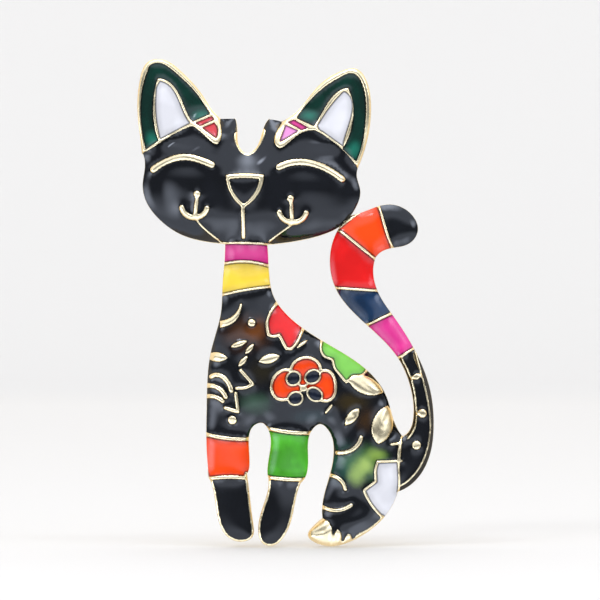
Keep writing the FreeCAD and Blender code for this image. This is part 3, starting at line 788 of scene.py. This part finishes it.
def enamel_piece(node, material):
    """The fill of one cell, domed, glossy and climbing its gold walls."""
    places, triangles = cad_surface(node)
    front = triangles[leaning(places, triangles) < FACES_FRONT]
    loops = [smooth_loop(loop, ENAMEL_STEP) for loop in rim_loops(places, front)]
    rim = np.concatenate([smooth_loop(loop, WALL_STEP) for loop in loops])
    walled = rim[distances(relief().tree, rim) > WALL_STEP]
    walls = point_tree(walled) if len(walled) else None
    piece = closed_relief(
        "fill_" + node, loops,
        lambda points: enamel_top(points, walls),
        sizes()["fill_depth"], ENAMEL_ROWS, ENAMEL_STEP, ENAMEL_GRID, ENAMEL_SMOOTHING,
        walls or relief().tree)
    paint(piece, material)
    finish_piece(piece, BODY, SLOTS[node], node)


class CATBROOCH_OT_enamel(bpy.types.Operator):
    """Pour every enamel fill into its cell"""

    bl_idname = "cat_brooch.enamel"
    bl_label = "Enamel"

    def execute(self, context):
        tint = colours()
        for name, (colour, nodes) in ENAMELS.items():
            clouds = EAR_CLOUDS if colour == "deep_green" else ()
            material = enamel_material(name, tuple(getattr(tint, colour)), clouds)
            for node in nodes:
                enamel_piece(node, material)
        clouded = enamel_material("enamel clouded black", tuple(tint.black), BODY_CLOUDS)
        enamel_piece("body_black", clouded)
        return {"FINISHED"}


# ---- raised gold ----------------------------------------------------
GOLD_ROWS = (0.035, 0.08, 0.135, 0.2)
GOLD_STEP = 0.09
GOLD_GRID = 0.16
GOLD_DEPTH = 0.75
GOLD_SMOOTHING = 2
GOLD_EDGE_STEP = 0.03
FLOWER_HEART = (7.3, -24.2)
FLOWER_REACH = 1.5
DIMPLE_DEPTH = 0.22
GROOVE_WIDTH = 0.16
MIDRIB_DEPTH, MIDRIB_WIDTH = 0.12, 0.14
RIB_DEPTH, RIB_SPACING, RIB_SLANT = 0.025, 0.8, 0.9
HALF_LEAF = 1.5
# the two ends of each groove
TOE_GROOVES = (((10.7, -41.5), (9.8, -42.2)), ((9.8, -42.2), (8.2, -42.7)),
               ((11.0, -42.6), (10.7, -43.9)), ((12.15, -43.4), (12.1, -44.1)),
               ((13.45, -43.2), (13.5, -43.9)))
# x, z and radius of each dimple in a dot
DIMPLES = ((21.9, -27.9, 0.2), (21.1, -31.7, 0.25), (21.2, -23.4, 0.18), (13.5, -28.0, 0.25),
           (7.36, -24.8, 0.2), (-1.3, -28.8, 0.2))
# middle x, middle z, direction in degrees and half length of each veined leaf
VEINED_LEAVES = ((15.0, -24.5, -38.0, 2.6), (17.1, -29.3, 68.0, 2.7))


def gold_details(x, z, edge):
    """Dimples in the dots, grooves between the toes and veins in the two large leaves."""
    cut = np.zeros_like(x)
    for cx, cz, radius in DIMPLES:
        cut -= DIMPLE_DEPTH * np.exp(-(np.hypot(x - cx, z - cz) / radius) ** 2)
    for (ax, az), (bx, bz) in TOE_GROOVES:
        along_x, along_z = bx - ax, bz - az
        t = np.clip(((x - ax) * along_x + (z - az) * along_z)
                    / (along_x ** 2 + along_z ** 2), 0, 1)
        away = np.hypot(x - ax - t * along_x, z - az - t * along_z)
        cut -= DIMPLE_DEPTH * np.exp(-(away / GROOVE_WIDTH) ** 2)
    for cx, cz, angle, half in VEINED_LEAVES:
        turn = math.radians(angle)
        along = (x - cx) * math.cos(turn) + (z - cz) * math.sin(turn)
        across = -(x - cx) * math.sin(turn) + (z - cz) * math.cos(turn)
        on_leaf = (np.abs(along) < half) & (np.abs(across) < HALF_LEAF)
        midrib = -MIDRIB_DEPTH * np.exp(-(across / MIDRIB_WIDTH) ** 2)
        turns = (along - np.abs(across) * RIB_SLANT) / RIB_SPACING
        ribs = RIB_DEPTH * np.cos(turns * 2 * math.pi)
        cut += np.where(on_leaf, (midrib + ribs) * ramp(edge, 0.12, 0.35), 0)
    return cut


def gold_group(x, z):
    """The piece that a patch of raised gold belongs to, by the middle of its outline."""
    if z > -7.4:
        return "gold_ears" if z > 4.6 and abs(x - 1) > 4 else "gold_face"
    if math.hypot(x - FLOWER_HEART[0], z - FLOWER_HEART[1]) < FLOWER_REACH:
        return "gold_flower"
    if x > 10.5 and z > -22 or x > 19.5:
        return "gold_tail"
    if z < -35:
        return "gold_feet"
    return "gold_leaves"


def patches(triangles, count):
    """The triangles in connected patches."""
    sides = face_sides(triangles)
    label = joined_labels(count, sides[:, 0], sides[:, 1])[triangles[:, 0]]
    return [triangles[label == one] for one in np.unique(label)]


def enamel_cover():
    """A search tree over the fronts of all the enamel fills."""
    places, triangles, first = [], [], 0
    for node in ENAMEL_NODES:
        some, faces = cad_surface(node)
        places.append(some)
        triangles.append(faces[leaning(some, faces) < FACES_FRONT] + first)
        first += len(some)
    return BVHTree.FromPolygons(np.concatenate(places).tolist(),
                                np.concatenate(triangles).tolist())


def bare_front():
    """The casting's corners, and the triangles of its front that no enamel covers."""
    places, triangles = cad_surface("cast_body")
    front = triangles[leaning(places, triangles) < FACES_FRONT]
    cover = enamel_cover()
    lifted = places[front].mean(axis=1) + (0, 0.01, 0)
    bare = [cover.ray_cast(Vector(start), Vector((0, -1, 0)))[0] is None
            for start in lifted.tolist()]
    return places, front[np.array(bare)]


class CATBROOCH_OT_gold(bpy.types.Operator):
    """Raise the gold lines, leaves, dots, rims and toes"""

    bl_idname = "cat_brooch.gold"
    bl_label = "Raised gold"

    def execute(self, context):
        places, bare = bare_front()
        groups = {}
        for patch in patches(bare, len(places)):
            loops = rim_loops(places, patch)
            if not loops:
                continue
            outer = max(loops, key=lambda loop: abs(signed_area(loop)))
            x, z = (outer.min(axis=0) + outer.max(axis=0)) / 2
            groups.setdefault(gold_group(x, z), []).extend(loops)
        material = gold_material("polished pale gold plating")
        for name, rough_loops in sorted(groups.items()):
            loops = [smooth_loop(loop, GOLD_STEP) for loop in rough_loops]
            tree = point_tree(np.concatenate([smooth_loop(loop, GOLD_EDGE_STEP)
                                              for loop in loops]))
            piece = closed_relief(
                name, loops, lambda points: gold_top(points, distances(tree, points)),
                GOLD_DEPTH, GOLD_ROWS, GOLD_STEP, GOLD_GRID, GOLD_SMOOTHING)
            paint(piece, material)
            finish_piece(piece, BODY, "gold_plate")
        return {"FINISHED"}


# ---- casting --------------------------------------------------------
PLATE_PROUD = 0.04      # the plate's sides stand this far outside the fills' sides
PLATE_ROWS = (0.12, 0.4)
PLATE_STEP = 0.2
PLATE_GRID = 0.8
LIP = 0.28              # how far the plate's rim lies under the enamel's surface
WELL = 0.45             # and the rest of its front
PLATE_ROUND = 0.18


class CATBROOCH_OT_casting(bpy.types.Operator):
    """Cast the plate that carries the enamel, with its sides and textured back"""

    bl_idname = "cat_brooch.casting"
    bl_label = "Casting"

    def execute(self, context):
        points, faces, edges = fill_outline(relief().outline, PLATE_ROWS, PLATE_STEP,
                                            PLATE_GRID)
        heights = relief().height(points[:, 0], points[:, 1])
        on_edge = np.isin(np.arange(len(points)), edges)
        front = height_places(points - PLATE_PROUD * inward_normals(points, edges),
                              heights - np.where(on_edge, LIP, WELL))
        back = [(x, BACK_Y * MM, z) for x, _, z in front]
        piece = new_object("cast_plate", front + back,
                           faces.tolist() + sides_and_floor(faces, edges, len(points)))
        piece.data.validate()
        only(piece)
        round_edges = piece.modifiers.new("rounded edges", "BEVEL")
        round_edges.width = PLATE_ROUND * MM
        round_edges.segments = 3
        round_edges.limit_method = "ANGLE"
        round_edges.angle_limit = math.radians(55)
        bpy.ops.object.modifier_apply(modifier=round_edges.name)
        smooth_by_angle(piece, 45)
        paint(piece, gold_material("cast gold plating", 0.34, 0.35, 0.03, 0.04))
        finish_piece(piece, BODY, "gold_plate", "cast_body")
        return {"FINISHED"}


# ---- findings on the back -------------------------------------------
TUMBLED = 0.06          # rounding of a stamped edge, in millimetres


class CATBROOCH_OT_findings(bpy.types.Operator):
    """Finish the bar, rivet, stem, catch and solder"""

    bl_idname = "cat_brooch.findings"
    bl_label = "Findings"

    def execute(self, context):
        steel = wire_material("polished nickel on steel wire", tuple(colours().steel), 0.16)
        plated = wire_material("stamped steel with gold flash", tuple(colours().gold), 0.24)
        solder = wire_material("tin solder", tuple(colours().solder), 0.4)
        finishes = {"pin_bar": plated, "catch_housing": plated, "catch_lock": plated,
                    "hinge_rivet": steel, "pin_stem": steel, "solder_plugs": solder}
        for name, material in finishes.items():
            node = frame["nodes"][name]
            weld = node.modifiers.new("joined corners", "WELD")
            weld.merge_threshold = MERGE
            edge = node.modifiers.new("tumbled edges", "BEVEL")
            edge.width = TUMBLED * MM
            edge.segments = 2
            edge.limit_method = "ANGLE"
            edge.angle_limit = math.radians(40)
            smooth_by_angle(node, 35)
            paint(node, material)
        return {"FINISHED"}


# ---- studio ---------------------------------------------------------
VIEW_MIDDLE = (6.95 * MM, -14.03 * MM)
VIEW_WIDTH = 73.2 * MM
CAMERA_AWAY = 0.6
SENSOR = 36             # millimetres across the camera's sensor
LENS = SENSOR * CAMERA_AWAY / VIEW_WIDTH
RIM_DEPTH = 1.5 * MM    # the rim that sets the view's width lies this far behind the front
STAGE_DEPTH = 1.1       # metres, as the rest of the stage
STAGE_HALF = 1.6
FLOOR_GAP = 0.15 * MM
SWEEP_RADIUS = 0.4
SWEEP_STEPS = 16
WALL_HEIGHT = 1.6
TENT_RADIUS = 0.95
PAPER_FIBRE = 0.4       # millimetres
# azimuth and elevation from the camera's side, spread in degrees and brightness of each panel
TENT_PANELS = ((-70, -14, 15, 4.0), (40, -50, 14, 2.0), (-38, -46, 13, 2.0), (-5, 76, 20, 6.0),
               (64, 18, 10, 4.0), (-30, 47, 5, 9.0))
# name, place, width, height and power in watts of each lamp
LAMPS = (("key", (-0.35, -0.5, 0.4), 0.14, 0.14, 0.9),
         ("top", (0.12, -0.35, 0.6), 0.4, 0.06, 0.5),
         ("side", (0.6, -0.35, 0.1), 0.06, 0.4, 0.5))


def soft_light(target, name, place, width, height, power):
    """A rectangular lamp that shines on the target and shows in no reflection."""
    light = bpy.data.lights.new(name, "AREA")
    light.shape = "RECTANGLE"
    light.size, light.size_y = width, height
    light.energy = power
    lamp = bpy.data.objects.new(name, light)
    bpy.context.scene.collection.objects.link(lamp)
    lamp.location = place
    lamp.visible_glossy = False
    lamp.rotation_euler = (Vector(target) - Vector(place)).to_track_quat("-Z", "Y").to_euler()


class CATBROOCH_OT_studio(bpy.types.Operator):
    """Set up the pale floor and backdrop, the soft lights and the camera"""

    bl_idname = "cat_brooch.studio"
    bl_label = "Studio"

    def reflections(self, context):
        """A round tent, dark level with the cat and pale above and below, seen in reflections."""
        bpy.ops.mesh.primitive_uv_sphere_add(segments=48, ring_count=24, radius=TENT_RADIUS)
        tent = context.active_object
        tent.name = "reflected_tent"
        material, tree = new_material("tent cloth with a dark band")
        where = add_node(tree, "ShaderNodeTexCoord").outputs["Object"]
        parts = add_node(tree, "ShaderNodeSeparateXYZ", {"Vector": where})
        height = add_node(tree, "ShaderNodeMath", {0: parts.outputs["Z"]}, operation="ABSOLUTE")
        front = mapped(tree, height.outputs[0], 0.1 * TENT_RADIUS, 0.42 * TENT_RADIUS,
                       0.3, 1.6, soft=True)
        behind = mapped(tree, parts.outputs["Z"], -0.6 * TENT_RADIUS, 0.7 * TENT_RADIUS,
                        0.85, 1.25)
        turning = mapped(tree, parts.outputs["Y"], -0.05 * TENT_RADIUS, 0.1 * TENT_RADIUS,
                         soft=True)
        glow = add_node(tree, "ShaderNodeMix", {0: turning, 2: front, 3: behind})
        for azimuth, elevation, spread, strength in TENT_PANELS:
            across, up, reach = (math.radians(a) for a in (azimuth, elevation, spread))
            middle = (TENT_RADIUS * math.cos(up) * math.sin(across),
                      -TENT_RADIUS * math.cos(up) * math.cos(across),
                      TENT_RADIUS * math.sin(up))
            away = add_node(tree, "ShaderNodeVectorMath", {0: where, 1: middle},
                            operation="DISTANCE")
            panel = mapped(tree, away.outputs["Value"], 1.7 * TENT_RADIUS * reach,
                           0.2 * TENT_RADIUS * reach, 0.0, strength, soft=True)
            glow = add_node(tree, "ShaderNodeMath", {0: glow.outputs[0], 1: panel})
        tint = mix_colour(tree, turning, linear("dde6f8"), linear("fff4e6"))
        cloth = add_node(tree, "ShaderNodeEmission",
                         {"Color": tint, "Strength": glow.outputs[0]})
        add_node(tree, "ShaderNodeOutputMaterial", {"Surface": cloth.outputs[0]})
        paint(tent, material)
        tent.visible_camera = tent.visible_diffuse = tent.visible_shadow = False
        tent.visible_transmission = False
        tent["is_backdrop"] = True

    def execute(self, context):
        low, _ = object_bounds()
        floor_z = low[2] - FLOOR_GAP
        steps = [i * math.pi / 2 / SWEEP_STEPS for i in range(SWEEP_STEPS + 1)]
        profile = [(-STAGE_DEPTH, 0.0)]
        profile += [(STAGE_DEPTH + SWEEP_RADIUS * math.sin(a),
                     SWEEP_RADIUS - SWEEP_RADIUS * math.cos(a)) for a in steps]
        profile += [(STAGE_DEPTH + SWEEP_RADIUS, WALL_HEIGHT)]
        corners = [(x, y, floor_z + z) for y, z in profile for x in (-STAGE_HALF, STAGE_HALF)]
        skin = [(2 * i, 2 * i + 1, 2 * i + 3, 2 * i + 2) for i in range(len(profile) - 1)]
        floor = new_object("studio_floor", corners, skin)
        smooth_by_angle(floor, 40)
        material, tree = new_material("seamless paper")
        where = add_node(tree, "ShaderNodeTexCoord").outputs["Object"]
        fibre = add_node(tree, "ShaderNodeTexNoise",
                         {"Vector": where, "Scale": per_metre(PAPER_FIBRE), "Detail": 2.0})
        place = add_node(tree, "ShaderNodeSeparateXYZ", {"Vector": where})
        # painted shade: the paper is darker towards the front and lighter towards the backdrop,
        # to even out the lamps' light on the floor
        paper_painted_shade = mapped(tree, place.outputs["Y"], 0.05, 0.8, 0.87, 0.97)
        paper = tuple(colours().floor)
        shade = mix_colour(tree, fibre.outputs[0], shifted(paper, 0.99), shifted(paper, 1.01))
        lit = add_node(tree, "ShaderNodeVectorMath", {0: shade, 3: paper_painted_shade}, operation="SCALE")
        finish_surface(tree, Base_Color=lit.outputs[0], Roughness=0.8, Specular_IOR_Level=0.2)
        paint(floor, material)
        floor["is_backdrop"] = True
        floor.visible_glossy = False
        self.reflections(context)

        middle_x, middle_z = VIEW_MIDDLE
        target = (middle_x, 0, middle_z)
        for lamp in LAMPS:
            soft_light(target, *lamp)

        world = bpy.data.worlds.new("studio air")
        context.scene.world = world
        world.use_nodes = True
        air = world.node_tree.nodes["Background"]
        air.inputs["Color"].default_value = (1.0, 0.995, 0.985, 1)
        air.inputs["Strength"].default_value = 1.1

        eye = bpy.data.cameras.new("camera")
        eye.lens = LENS
        eye.clip_start, eye.clip_end = 0.01, 10.0
        camera = bpy.data.objects.new("camera", eye)
        context.scene.collection.objects.link(camera)
        camera.location = (middle_x, low[1] + RIM_DEPTH - CAMERA_AWAY, middle_z)
        camera.rotation_euler = (math.pi / 2, 0, 0)
        context.scene.camera = camera
        context.scene.view_settings.view_transform = "Standard"
        return {"FINISHED"}


class CATBROOCH_PT_panel(bpy.types.Panel):
    """Shows a button for each step of the build, and the brooch's sizes and colours"""

    bl_label = "Cat Brooch"
    bl_idname = "CATBROOCH_PT_panel"
    bl_space_type = "VIEW_3D"
    bl_region_type = "UI"
    bl_category = "Cat Brooch"

    def draw(self, context):
        for operator in STEPS:
            self.layout.operator(operator.bl_idname)
        scene = context.scene
        for group, kind in ((scene.cat_brooch_sizes, CatBroochSizes),
                            (scene.cat_brooch_colours, CatBroochColours)):
            for name in kind.__annotations__:
                self.layout.prop(group, name)


STEPS = (CATBROOCH_OT_studio, CATBROOCH_OT_casting, CATBROOCH_OT_gold, CATBROOCH_OT_enamel,
         CATBROOCH_OT_findings)
CLASSES = (CatBroochSizes, CatBroochColours, *STEPS, CATBROOCH_PT_panel)


def register():
    for one in CLASSES:
        bpy.utils.register_class(one)
    bpy.types.Scene.cat_brooch_sizes = bpy.props.PointerProperty(type=CatBroochSizes)
    bpy.types.Scene.cat_brooch_colours = bpy.props.PointerProperty(type=CatBroochColours)


def unregister():
    del bpy.types.Scene.cat_brooch_colours
    del bpy.types.Scene.cat_brooch_sizes
    for one in reversed(CLASSES):
        bpy.utils.unregister_class(one)


def main():
    register()
    bpy.ops.cat_brooch.studio()
    bpy.ops.cat_brooch.casting()
    bpy.ops.cat_brooch.gold()
    bpy.ops.cat_brooch.enamel()
    bpy.ops.cat_brooch.findings()


if __name__ == "__main__":
    main()
